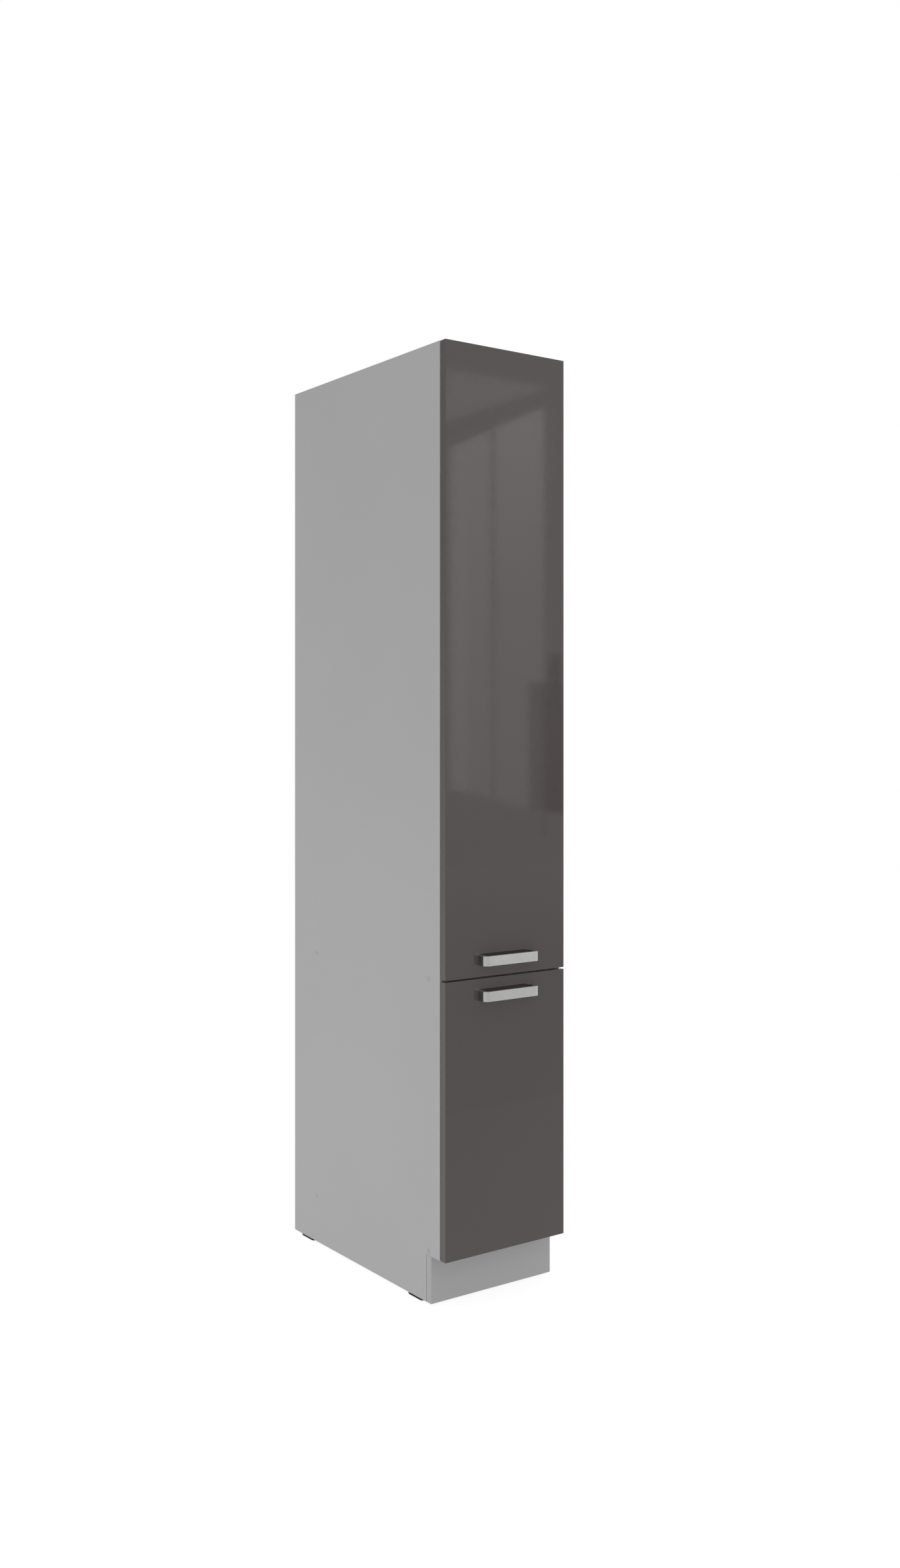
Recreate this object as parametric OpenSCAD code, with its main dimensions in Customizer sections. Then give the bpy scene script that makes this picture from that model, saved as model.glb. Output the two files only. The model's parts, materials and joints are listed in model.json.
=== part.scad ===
// Tall pull-out larder unit: a fixed carcass holds two pull-out frames, one above a fixed shelf
// and one below it. Each frame rides on a pair of full-extension ball-bearing runners, is steadied
// at the top by a roller in a ceiling rail, carries hook-on trays and has its own front.
// Millimetres. X runs left to right, Y from the fronts to the wall, Z up from the floor.
// The origin is on the floor, under the middle of the overall width and depth.

/* [Carcass] */
// Overall width of the unit
unit_w = 300; // [290:5:400]
// Depth of the carcass, without the fronts
carcass_d = 566; // [560:1:620]
// Height of the side panels
side_h = 1880; // [1800:10:2200]
// Thickness of the carcass boards
board_t = 16; // [16:1:19]
// Height of the plinth zone under the bottom panel
plinth_h = 93; // [80:1:150]
// Distance of the plinth face behind the carcass front
plinth_setback = 29; // [20:1:60]
// Gap between the plinth board and the side panels behind it
plinth_gap = 0.8; // [0.5:0.1:2]
// Thickness of the back panel
back_t = 3; // [3:1:6]
// Distance of the back panel's groove from the rear edge
back_inset = 12; // [8:1:20]
// Depth of the back panel's groove
groove_depth = 8; // [5:0.5:9]
// How far the shelf's middle lies under the middle of the gap between the fronts
shelf_drop = 1.75; // [0:0.25:6]

/* [Fronts] */
// Thickness of the fronts
front_t = 16; // [16:1:22]
// Distance of a front's side edge from the side of the carcass
front_reveal = 1.5; // [0:0.5:3]
// Height of the lower front
lower_front_h = 542; // [500:1:600]
// Gap between the two fronts
front_gap = 3.5; // [2:0.5:6]
// Thickness of the bumpers between carcass and fronts
bumper_t = 1; // [0.8:0.1:2]
// Diameter of the bumpers
bumper_d = 8; // [6:1:10]

/* [Handles] */
// Distance between the handle's screws
handle_cc = 128; // [96:32:192]
// Width of each handle leg
handle_leg = 10; // [8:0.5:14]
// Thickness of the handle's front bar
handle_bar = 8; // [6:0.5:10]
// Height of the handle
handle_h = 19.5; // [14:0.5:24]
// Distance of the handle's front from the front panel
handle_proj = 23; // [20:0.5:32]
// Outer corner radius of the handle
handle_r = 12; // [6:0.5:14]
// Inner corner radius of the handle
handle_inner_r = 4; // [2:0.5:5]
// Distance of the handle's centre line from the edge of its front
handle_inset = 33; // [25:1:80]
// Diameter of the handle screws
handle_screw_d = 4; // [4:0.5:5]
// Depth of the handle screws in the handle
handle_screw_in = 9; // [6:1:10]

/* [Glides and plinth blocks] */
// Height of the glides under the side panels
glide_h = 5; // [4:0.5:8]
// Length of the glides
glide_l = 52; // [40:1:60]
// Width of the glides
glide_w = 14; // [10:1:15]
// Distance of the front glides from the carcass front
glide_front = 63; // [50:1:100]
// Distance of the rear glides from the carcass rear
glide_rear = 27; // [20:1:80]
// Leg length of the angle blocks behind the plinth
block_leg = 26; // [22:1:34]
// Wall of the angle blocks
block_t = 4; // [3:0.5:5]
// Height of the angle blocks
block_h = 62; // [50:1:70]

/* [Panel fastenings] */
// Distance of the front connecting screws from the carcass front
joint_front = 38.6; // [30:0.2:60]
// Distance of the rear connecting screws from the carcass front
joint_rear = 470; // [440:1:500]
// Length of the connecting screws
joint_screw_l = 48; // [40:1:60]
// Diameter of the connecting screws' thread
joint_thread_d = 5; // [4:0.5:6]
// Diameter of the caps over the connecting screws
cap_d = 9; // [8:0.5:12]
// Thickness of the caps
cap_t = 1.2; // [1:0.1:2]
// Diameter of the dowels
dowel_d = 8; // [6:1:8]
// Length of the dowels
dowel_l = 30; // [25:1:35]
// Diameter of the cam housings in the top panel
cam_d = 15; // [12:1:18]
// Distance of the cam centres from the panel end
cam_reach = 34; // [24:1:40]

/* [Runners] */
// Length of the runners
runner_l = 500; // [450:10:520]
// Height of a runner
runner_h = 45.7; // [44:0.1:50]
// Overall thickness of a runner
runner_t = 12.7; // [12.7:0.1:14]
// Sheet thickness of the runner members
runner_wall = 1.2; // [1:0.1:1.4]
// Diameter of the balls
ball_d = 4.3; // [4:0.1:4.4]
// Number of balls in each row
balls_per_row = 7; // [4:1:8]
// Distance between the balls of a row
ball_pitch = 28; // [20:1:30]
// Distance of the runners behind the carcass front
runner_setback = 5; // [3:0.5:15]
// Overall width of the base channel that holds the runners
base_w = 190; // [180:1:210]
// Sheet thickness of base channel and carriage
sheet_t = 1.5; // [1.2:0.1:2]

/* [Frames] */
// Depth of a pull-out frame from its front to its rear
frame_d = 510; // [500:1:516]
// Width of the uprights
upright_w = 50; // [44:1:60]
// Depth of the uprights
upright_d = 15; // [12:1:18]
// Wall of the uprights and the top bar
tube_wall = 1.5; // [1.2:0.1:2]
// Distance between the rows of hook holes
hole_pitch = 96; // [64:32:96]
// Width of the top bar
bar_w = 30; // [26:1:40]
// Height of the top bar
bar_h = 15; // [12:1:20]
// Width of the plates that join the uprights to the fronts
bracket_w = 110; // [100:1:130]
// Height of those plates
bracket_h = 60; // [50:1:80]
// Thickness of those plates
bracket_t = 2; // [1.5:0.1:3]

/* [Ceiling rails] */
// Width of the ceiling rail
rail_w = 32; // [28:1:40]
// Height of the ceiling rail
rail_h = 20; // [18:1:26]
// Sheet thickness of the ceiling rail
rail_wall = 1.5; // [1.2:0.1:2]
// Width of the slot in the ceiling rail
rail_slot = 14; // [13:0.5:16]
// Height of the guide roller
roller_h = 10; // [8:0.5:11]
// Diameter of the roller's pin
roller_pin_d = 6; // [5:0.5:8]

/* [Trays] */
// Gap between a tray and each side panel
tray_gap = 14; // [10:1:20]
// Height of a tray with its rails
tray_h = 90; // [84:1:110]
// Height of a tray's folded rim
tray_rim_h = 26; // [20:1:30]
// Sheet thickness of a tray
tray_t = 1.5; // [1.2:0.1:2]
// Plan corner radius of a tray
tray_r = 22; // [16:1:30]
// Height of the flat bars that make the rails
tray_bar_h = 9; // [7:0.5:12]
// Thickness of those bars
tray_bar_t = 3; // [2.5:0.5:4]
// Height of the middle of the lower rail
tray_low_rail = 55; // [52:1:60]
// Width of the posts between rim and rails
post_w = 14; // [10:1:20]
// Number of posts along each side of a tray
side_posts = 3; // [2:1:5]
// Distance between the two posts at each end of a tray
end_post_pitch = 140; // [120:5:160]
// Diameter of the pins that the trays hang on
hook_pin_d = 8; // [6:0.5:8]
// Width of the tray's hook plates
hook_w = 60; // [54:1:70]
// Thickness of the tray's hook plates
hook_t = 2; // [1.5:0.1:2]

/* [Hidden] */
$fn = 64;

// Cuts and clearances
cut = 1;                // how far a cut reaches past a face
hole_end = 0.5;         // how much deeper a blind hole is than what sits in it
screw_fit = 0.05;       // radial, round a screw or nail in its hole
dowel_fit = 0.05;       // radial, round a dowel
groove_fit = 0.2;       // each side of the back panel in its groove
groove_end = 0.5;       // between the back panel's edge and the groove's end
cap_fit = 0.1;          // radial, round a cap
ball_fit = 0.1;         // between a ball and its groove
cage_fit = 0.15;        // radial, round a ball in its cage
pin_fit = 0.1;          // radial, round a hook pin in a hook plate
plate_fit = 0.3;        // each side of a hook plate between a pin's collar and head
roller_fit = 0.3;       // between the guide roller and the rail's walls
bore_fit = 0.05;        // radial, round the guide roller's pin
roller_end_fit = 0.3;   // above and below the guide roller
rail_to_bar = 7;        // between the ceiling rail and the top bar
base_to_runner = 1;     // between the base channel's floor and the runners
base_over_runner = 1;   // by which the base channel's walls rise past the runners
carriage_over = 3;      // between the base channel's walls and the carriage's deck

// Planes of the carcass, from the front to the wall and from the floor up
overall_d = carcass_d + bumper_t + front_t + handle_proj;
y_wall = overall_d / 2;
y_carcass = y_wall - carcass_d;
y_front_back = y_carcass - bumper_t;
y_front_face = y_front_back - front_t;
y_back_panel = y_wall - back_inset - back_t;
z_side = glide_h;
z_top = glide_h + side_h;
z_base = glide_h + plinth_h;
z_floor_low = z_base + board_t;
z_split = z_base + lower_front_h + front_gap / 2;
z_ceiling_low = z_split - shelf_drop - board_t / 2;
z_floor_up = z_ceiling_low + board_t;
z_ceiling_up = z_top - board_t;
x_out = unit_w / 2;
x_in = x_out - board_t;
y_plinth = y_carcass + plinth_setback;

// Panel fastenings
joint_ys = [y_carcass + joint_front, y_carcass + joint_rear];
dowel_from_screw = 50;
dowel_ys = [y_carcass + joint_front + dowel_from_screw, y_carcass + joint_rear - dowel_from_screw];
joint_zs = [z_base + board_t / 2, z_ceiling_low + board_t / 2];
top_joint_z = z_ceiling_up + board_t / 2;
dowel_zs = concat(joint_zs, top_joint_z);
board_zs = [z_base, z_ceiling_low, z_ceiling_up];
joint_head_d = 8;
joint_head_h = 4;
joint_shank_d = 6;
dowel_in_side = 10;
cam_h = 12.5;
cam_bolt_d = 6;
cam_bolt_in_side = 11;
cam_slot_w = 1.2;
cam_slot_l = 8;
cam_bolt_gap = 0.2;

// Wood screws, all of one size
wood_d = 3.5;
wood_l = 13;
wood_head_d = 7;
wood_head_h = 2;

// Back panel nails
nail_d = 1.6;
nail_l = 18;
nail_head_d = 3.6;
nail_head_h = 0.8;
nails_per_board = 4;
nail_edge = 24;

// Glides
glide_nail_l = 16;
glide_chamfer = 1;
glide_recess = 1;
glide_ys = [y_carcass + glide_front, y_wall - glide_rear - glide_l];
glide_x = x_out - board_t / 2;

// Screws of the angle blocks
block_screw_in = block_leg * 0.6;
block_screw_zs = [z_base - block_h / 3, z_base - 2 * block_h / 3];

// Bumpers
bumper_inset = 30;

// Wall brackets
wall_bracket_w = 30;
wall_bracket_leg = 40;
wall_bracket_t = 2;
wall_bracket_x = 96;
wall_hole_d = 5.5;
wall_hole_drop = 24;
wall_screw_y = 18;

// Handles
z_handle_up = z_split + front_gap / 2 + handle_inset;
z_handle_low = z_split - front_gap / 2 - handle_inset;
handle_head_h = 2.2;

// Runners: u runs from the outer member's web inwards, v up from the runner's middle
y_runner = y_carcass + runner_setback;
x_flange_in = base_w / 2 - sheet_t;
x_inner_web = x_flange_in - runner_t;
groove_r = ball_d / 2 + ball_fit;
groove_depth_ball = 0.5;
v_outer_ball = runner_h / 2 - runner_wall - groove_r;
v_inner_ball = v_outer_ball - 2 * groove_r - runner_wall;
u_outer_ball = 7;
u_inner_ball = 8.6;
u_middle_web = 3.2;
u_lip = 10.8;
u_inner_lip = 6.2;
cage_t = 0.8;
cage_margin = 16;
cage_l = (balls_per_row - 1) * ball_pitch + 2 * cage_margin;
y_cage = y_runner + (runner_l - cage_l) / 2;
u_outer_cage = 1.8;
u_inner_cage = 5.2;
u_outer_cage_end = 10;
u_inner_cage_end = 11.4;
base_screw_x = 68;
base_screw_inset = 40;
base_screw_ys = [y_runner + base_screw_inset, y_runner + runner_l / 2,
                 y_runner + runner_l - base_screw_inset];

// Heights in a compartment, above its floor
function z_runner(z0) = z0 + sheet_t + base_to_runner + runner_h / 2;
function z_base_top(z0) = z_runner(z0) + runner_h / 2 + base_over_runner;
function z_deck(z0) = z_base_top(z0) + carriage_over;
function z_frame(z0) = z_deck(z0) + sheet_t;
skirt_drop = 15;

// Frames
y_frame = y_front_back + bracket_t;
y_frame_rear = y_frame + frame_d;
bar_overhang = 10;
function z_bar(zc) = zc - rail_h - rail_to_bar - bar_h;
hook_hole_x = 15;
first_hole = 68;
deck_window_w = 90;
deck_window_l = 130;
deck_windows = 3;
deck_window_r = 8;
function hook_rows(z0, zc) = floor((z_bar(zc) - z_frame(z0) - first_hole - hook_pin_d) / hole_pitch);
function z_hook(z0, row) = z_frame(z0) + first_hole + row * hole_pitch;

// Which rows of holes hold trays: n trays share out all the rows but the top one
function tray_rows(n, rows) = [for (i = [0 : n - 1]) round(i * (rows - 1) / (n - 1))];
upper_tray_rows = tray_rows(4, hook_rows(z_floor_up, z_ceiling_up));
lower_tray_rows = tray_rows(2, hook_rows(z_floor_low, z_ceiling_low));

// Heights of the plates on the fronts
bracket_over_frame = 80;
bracket_under_ceiling = 110;
upper_bracket_zs = [z_frame(z_floor_up) + bracket_over_frame, (z_floor_up + z_ceiling_up) / 2,
                    z_ceiling_up - bracket_under_ceiling];
lower_bracket_zs = [z_frame(z_floor_low) + bracket_over_frame, z_ceiling_low - bracket_under_ceiling];
bracket_screw_x = bracket_w / 2 - 12;
bracket_screw_z = bracket_h / 2 - 14;
bracket_slot_d = 4.5;
bracket_slot_l = 10;
bracket_r = 6;

// Hook pins, from the upright outwards
pin_collar_d = 12;
pin_collar_t = 1;
pin_head_t = 1.5;
pin_in_tube = 3;
y_plate_front = y_frame + upright_d + pin_collar_t + plate_fit;
y_plate_rear = y_frame_rear - upright_d - pin_collar_t - plate_fit - hook_t;

// Ceiling rail and roller
roller_r = rail_w / 2 - rail_wall - roller_fit;
roller_back = 2;
y_roller = y_frame_rear + roller_back;
roller_dish = 1;
roller_rim = 2.5;
roller_lift = 1.2;
rail_end = 8;
rail_l = y_roller + roller_r + rail_end - y_runner;
function z_roller(zc) = zc - rail_h + rail_wall + roller_lift;
pin_shoulder_r = 5;
pin_cap_t = 1.2;
rail_screw_inset = 30;
rail_screw_ys = [y_runner + rail_screw_inset, y_runner + rail_l / 2,
                 y_runner + rail_l - rail_screw_inset];

// Trays: heights are above the tray's underside
hook_height = 60;
hook_plate_low = 46;
pin_clear = 2;
tray_x = x_in - tray_gap;
y_tray_front = y_plate_front + hook_t;
y_tray_mid = (y_tray_front + y_plate_rear) / 2;
tray_weld = 0.2;         // how deep a tray's end sinks into its hook plates
tray_l = y_plate_rear - y_tray_front + 2 * tray_weld;

grey_board = [0.66, 0.66, 0.66];
graphite = [0.27, 0.25, 0.25];
satin = [0.76, 0.76, 0.75];
zinc = [0.72, 0.73, 0.74];
bright_steel = [0.80, 0.81, 0.82];
frame_grey = [0.55, 0.56, 0.57];
pale_nylon = [0.88, 0.88, 0.86];
raw_wood = [0.80, 0.66, 0.46];

// ---------- shared shapes ----------

module both_sides() {
    children();
    mirror([1, 0, 0]) children();
}

// A box between two opposite corners
module block(low, high) {
    translate(low) cube([high[0] - low[0], high[1] - low[1], high[2] - low[2]]);
}

// A cylinder that starts at p and points along +X, -X, +Y, -Y, +Z or -Z
module rod(p, dir, d, l) {
    turn = dir[0] != 0 ? [0, 90 * dir[0], 0] : dir[1] != 0 ? [-90 * dir[1], 0, 0] : [dir[2] < 0 ? 180 : 0, 0, 0];
    translate(p) rotate(turn) cylinder(d = d, h = l);
}

// A screw with a flat head: dir points from the head to the tip, and p is the head's underside
module screw(p, dir, d, l, head_d, head_h) {
    rod(p, dir, d, l);
    rod(p - dir * head_h, dir, head_d, head_h);
}

module wood_screw(p, dir) {
    screw(p, dir, wood_d, wood_l, wood_head_d, wood_head_h);
}

// The hole of a wood screw, from just outside the face at p
module wood_hole(p, dir) {
    rod(p - dir * cut, dir, wood_d + 2 * screw_fit, wood_l + cut);
}

// A flat outline with two round ends
module pill(l, w) {
    square([l - w, w], center = true);
    for (s = [-1, 1]) translate([s * (l - w) / 2, 0]) circle(d = w);
}

// A rectangle with four round corners, as exact arcs
module round_rect(w, h, r) {
    square([w - 2 * r, h], center = true);
    square([w, h - 2 * r], center = true);
    for (sx = [-1, 1], sy = [-1, 1]) translate([sx * (w / 2 - r), sy * (h / 2 - r)]) circle(r);
}

// An outline in X and Z, drawn along +Y from y0
module along_y(y0, l) {
    translate([0, y0 + l, 0]) rotate([90, 0, 0]) linear_extrude(l) children();
}

// ---------- carcass ----------

module side_panel() {
    difference() {
        block([-x_out, y_carcass, z_side], [-x_in, y_wall, z_top]);
        block([-x_out - cut, y_carcass - cut, z_side - cut],
              [-x_in + cut, y_plinth + board_t + plinth_gap, z_base]);
        block([-x_in - groove_depth, y_back_panel - groove_fit, z_base],
              [-x_in + cut, y_back_panel + back_t + groove_fit, z_top + cut]);
        for (y = joint_ys, z = joint_zs) {
            rod([-x_out - cut, y, z], [1, 0, 0], cap_d + 2 * cap_fit, cap_t + cut);
            rod([-x_out, y, z], [1, 0, 0], joint_head_d + 2 * screw_fit, cap_t + joint_head_h);
            rod([-x_out, y, z], [1, 0, 0], joint_shank_d + 2 * screw_fit, board_t + cut);
        }
        for (y = dowel_ys, z = dowel_zs)
            rod([-x_in + cut, y, z], [-1, 0, 0], dowel_d + 2 * dowel_fit, dowel_in_side + hole_end + cut);
        for (y = joint_ys)
            rod([-x_in + cut, y, top_joint_z], [-1, 0, 0], cam_bolt_d + 2 * screw_fit,
                cam_bolt_in_side + hole_end + cut);
        for (y = glide_ys)
            rod([-glide_x, y + glide_l / 2, z_side - cut], [0, 0, 1], nail_d + 2 * screw_fit, glide_nail_l + cut);
        for (z = block_screw_zs)
            wood_hole([-x_in, y_plinth + board_t + block_screw_in, z], [-1, 0, 0]);
    }
}

module side_panel_left() {
    color(grey_board) side_panel();
}

module side_panel_right() {
    color(grey_board) mirror([1, 0, 0]) side_panel();
}

// A board between the side panels, with the holes for its joints and its back nails
module cross_board(z0) {
    difference() {
        block([-x_in, y_carcass, z0], [x_in, y_back_panel, z0 + board_t]);
        both_sides() for (y = dowel_ys)
            rod([-x_in - cut, y, z0 + board_t / 2], [1, 0, 0], dowel_d + 2 * dowel_fit,
                dowel_l - dowel_in_side + hole_end + cut);
        for (x = nail_xs())
            rod([x, y_back_panel + cut, z0 + board_t / 2], [0, -1, 0], nail_d + 2 * screw_fit,
                nail_l - back_t + hole_end + cut);
        children();
    }
}

function nail_xs() = [for (i = [0 : nails_per_board - 1])
    -x_in + nail_edge + i * 2 * (x_in - nail_edge) / (nails_per_board - 1)];

module joint_holes(z0) {
    both_sides() for (y = joint_ys)
        rod([-x_in - cut, y, z0 + board_t / 2], [1, 0, 0], joint_thread_d + 2 * screw_fit,
            joint_screw_l - board_t + cap_t + hole_end + cut);
}

module base_screw_holes(z_floor) {
    both_sides() for (y = base_screw_ys) wood_hole([-base_screw_x, y, z_floor], [0, 0, -1]);
}

module rail_screw_holes(z_ceiling) {
    for (y = rail_screw_ys) wood_hole([0, y, z_ceiling], [0, 0, 1]);
}

module bottom_panel() {
    color(grey_board) cross_board(z_base) {
        joint_holes(z_base);
        base_screw_holes(z_floor_low);
    }
}

module middle_shelf() {
    color(grey_board) cross_board(z_ceiling_low) {
        joint_holes(z_ceiling_low);
        base_screw_holes(z_floor_up);
        rail_screw_holes(z_ceiling_low);
    }
}

module top_panel() {
    color(grey_board) cross_board(z_ceiling_up) {
        rail_screw_holes(z_ceiling_up);
        both_sides() {
            for (y = joint_ys) {
                rod([-x_in - cut, y, top_joint_z], [1, 0, 0], cam_bolt_d + 2 * screw_fit, cam_reach + cut);
                rod([-x_in + cam_reach, y, z_ceiling_up - cut], [0, 0, 1], cam_d + 2 * screw_fit,
                    cam_h + hole_end + cut);
            }
            wood_hole([-wall_bracket_x, y_back_panel - wall_screw_y, z_ceiling_up], [0, 0, 1]);
        }
    }
}

module back_panel() {
    color(grey_board) difference() {
        block([-x_in - groove_depth + groove_end, y_back_panel, z_base],
              [x_in + groove_depth - groove_end, y_back_panel + back_t, z_top]);
        for (x = nail_xs(), z = board_zs)
            rod([x, y_back_panel - cut, z + board_t / 2], [0, 1, 0], nail_d + 2 * screw_fit, back_t + 2 * cut);
        both_sides() rod([-wall_bracket_x, y_back_panel - cut, z_ceiling_up - wall_hole_drop], [0, 1, 0],
                         wall_hole_d, back_t + 2 * cut);
    }
}

module plinth_board() {
    color(grey_board) difference() {
        block([-x_out, y_plinth, z_side], [x_out, y_plinth + board_t, z_base]);
        both_sides() for (z = block_screw_zs)
            wood_hole([-x_in + block_screw_in, y_plinth + board_t, z], [0, -1, 0]);
    }
}

// Angle blocks that tie the plinth board to the side panels
module plinth_blocks() {
    y0 = y_plinth + board_t;
    color(pale_nylon) both_sides() difference() {
        union() {
            block([-x_in, y0, z_base - block_h], [-x_in + block_leg, y0 + block_t, z_base]);
            block([-x_in, y0, z_base - block_h], [-x_in + block_t, y0 + block_leg, z_base]);
        }
        for (z = block_screw_zs) {
            wood_hole([-x_in + block_screw_in, y0 + block_t, z], [0, -1, 0]);
            wood_hole([-x_in + block_t, y0 + block_screw_in, z], [-1, 0, 0]);
        }
    }
}

module glides() {
    color("black") both_sides() for (y = glide_ys) translate([-glide_x, y + glide_l / 2, 0]) rotate(90)
        difference() {
            union() {
                translate([0, 0, glide_chamfer]) linear_extrude(glide_h - glide_chamfer) pill(glide_l, glide_w);
                linear_extrude(glide_h) pill(glide_l - 2 * glide_chamfer, glide_w - 2 * glide_chamfer);
            }
            translate([0, 0, -cut]) cylinder(d = nail_d + 2 * screw_fit, h = glide_h + 2 * cut);
            translate([0, 0, -cut])
                cylinder(d = nail_head_d + 2 * screw_fit, h = glide_recess + nail_head_h + cut);
        }
}

module glide_nails() {
    color(zinc) both_sides() for (y = glide_ys)
        screw([-glide_x, y + glide_l / 2, glide_recess + nail_head_h], [0, 0, 1], nail_d, glide_nail_l,
              nail_head_d, nail_head_h);
}

// Screws through the side panels into the ends of the bottom panel and the shelf
module connecting_screws() {
    color(zinc) both_sides() for (y = joint_ys, z = joint_zs) {
        rod([-x_out + cap_t, y, z], [1, 0, 0], joint_head_d, joint_head_h);
        rod([-x_out + cap_t, y, z], [1, 0, 0], joint_shank_d, board_t - cap_t);
        rod([-x_out + cap_t, y, z], [1, 0, 0], joint_thread_d, joint_screw_l);
    }
}

module screw_caps() {
    color(grey_board * 0.9) both_sides() for (y = joint_ys, z = joint_zs)
        rod([-x_out, y, z], [1, 0, 0], cap_d, cap_t);
}

// Cam housings in the top panel, each with the bolt that pulls the side panel against it
module cam_fittings() {
    color(zinc) both_sides() for (y = joint_ys) {
        difference() {
            rod([-x_in + cam_reach, y, z_ceiling_up], [0, 0, 1], cam_d, cam_h);
            rod([-x_in + cam_reach, y, top_joint_z], [-1, 0, 0], cam_bolt_d + 2 * screw_fit, cam_d);
            block([-x_in + cam_reach - cam_slot_l / 2, y - cam_slot_w / 2, z_ceiling_up - cut],
                  [-x_in + cam_reach + cam_slot_l / 2, y + cam_slot_w / 2, z_ceiling_up + cam_slot_w]);
        }
        rod([-x_in - cam_bolt_in_side, y, top_joint_z], [1, 0, 0], cam_bolt_d,
            cam_bolt_in_side + cam_reach - cam_bolt_gap);
    }
}

module dowels() {
    color(raw_wood) both_sides() for (y = dowel_ys, z = dowel_zs)
        rod([-x_in - dowel_in_side, y, z], [1, 0, 0], dowel_d, dowel_l);
}

module back_nails() {
    color(zinc) for (x = nail_xs(), z = board_zs)
        screw([x, y_back_panel + back_t, z + board_t / 2], [0, -1, 0], nail_d, nail_l, nail_head_d, nail_head_h);
}

// Angles that take the screws to the wall, inside the top of the carcass
module wall_brackets() {
    x0 = -wall_bracket_x - wall_bracket_w / 2;
    x1 = -wall_bracket_x + wall_bracket_w / 2;
    color(zinc) both_sides() difference() {
        union() {
            block([x0, y_back_panel - wall_bracket_leg, z_ceiling_up - wall_bracket_t],
                  [x1, y_back_panel, z_ceiling_up]);
            block([x0, y_back_panel - wall_bracket_t, z_ceiling_up - wall_bracket_leg],
                  [x1, y_back_panel, z_ceiling_up]);
        }
        rod([-wall_bracket_x, y_back_panel - wall_bracket_t - cut, z_ceiling_up - wall_hole_drop], [0, 1, 0],
            wall_hole_d, wall_bracket_t + 2 * cut);
        wood_hole([-wall_bracket_x, y_back_panel - wall_screw_y, z_ceiling_up - wall_bracket_t], [0, 0, 1]);
    }
}

// Every wood screw that stays with the carcass
module wood_screws() {
    y0 = y_plinth + board_t;
    color(zinc) {
        both_sides() {
            for (z0 = [z_floor_low, z_floor_up], y = base_screw_ys)
                wood_screw([-base_screw_x, y, z0 + sheet_t], [0, 0, -1]);
            for (z = block_screw_zs) {
                wood_screw([-x_in + block_screw_in, y0 + block_t, z], [0, -1, 0]);
                wood_screw([-x_in + block_t, y0 + block_screw_in, z], [-1, 0, 0]);
            }
            wood_screw([-wall_bracket_x, y_back_panel - wall_screw_y, z_ceiling_up - wall_bracket_t],
                       [0, 0, 1]);
        }
        for (zc = [z_ceiling_low, z_ceiling_up], y = rail_screw_ys)
            wood_screw([0, y, zc - rail_wall], [0, 0, 1]);
    }
}

// Soft pads on the carcass front edges, one near each corner of each front
module door_bumpers() {
    color(pale_nylon) both_sides()
        for (z = [z_base + bumper_inset, z_split - bumper_inset, z_split + bumper_inset, z_top - bumper_inset])
            rod([-x_in - board_t / 2, y_carcass, z], [0, -1, 0], bumper_d, bumper_t);
}

// ---------- runners ----------

// The channel on the compartment floor that holds the outer runner members
module runner_base(z0) {
    color(zinc) difference() {
        union() {
            block([-base_w / 2, y_runner, z0], [base_w / 2, y_runner + runner_l, z0 + sheet_t]);
            both_sides() block([-base_w / 2, y_runner, z0],
                               [-base_w / 2 + sheet_t, y_runner + runner_l, z_base_top(z0)]);
        }
        both_sides() for (y = base_screw_ys)
            rod([-base_screw_x, y, z0 - cut], [0, 0, 1], wood_d + 2 * screw_fit, sheet_t + 2 * cut);
    }
}

module upper_runner_base() {
    runner_base(z_floor_up);
}

module lower_runner_base() {
    runner_base(z_floor_low);
}

// Cuts the ball grooves of one row pair out of a flange
module ball_grooves(u, v) {
    for (s = [-1, 1]) translate([u, s * v]) circle(groove_r);
}

module outer_profile() {
    lip_v = runner_h / 2 - runner_wall - groove_depth_ball;
    difference() {
        translate([0, -runner_h / 2]) square([u_lip, runner_h]);
        translate([runner_wall, -lip_v]) square([u_lip, 2 * lip_v]);
        ball_grooves(u_outer_ball, v_outer_ball);
    }
}

module middle_profile() {
    v_out = v_outer_ball - groove_r + groove_depth_ball;
    v_in = v_inner_ball + groove_r - groove_depth_ball;
    difference() {
        translate([u_middle_web, -v_out]) square([u_lip - u_middle_web, 2 * v_out]);
        translate([u_middle_web + runner_wall, -v_in]) square([u_lip, 2 * v_in]);
        ball_grooves(u_outer_ball, v_outer_ball);
        ball_grooves(u_inner_ball, v_inner_ball);
    }
}

module inner_profile() {
    v_out = v_inner_ball - groove_r + groove_depth_ball;
    v_in = v_inner_ball - groove_r - runner_wall;
    difference() {
        translate([u_inner_lip, -v_out]) square([runner_t - u_inner_lip, 2 * v_out]);
        translate([0, -v_in]) square([runner_t - runner_wall, 2 * v_in]);
        ball_grooves(u_inner_ball, v_inner_ball);
    }
}

// A runner member on both sides of the compartment whose floor is z0
module runner_pair(z0) {
    color(zinc) both_sides() translate([-x_flange_in, 0, z_runner(z0)]) along_y(y_runner, runner_l) children();
}

module upper_outer_runners() {
    runner_pair(z_floor_up) outer_profile();
}

module lower_outer_runners() {
    runner_pair(z_floor_low) outer_profile();
}

module upper_middle_runners() {
    runner_pair(z_floor_up) middle_profile();
}

module lower_middle_runners() {
    runner_pair(z_floor_low) middle_profile();
}

module upper_inner_runners() {
    runner_pair(z_floor_up) inner_profile();
}

module lower_inner_runners() {
    runner_pair(z_floor_low) inner_profile();
}

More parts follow.
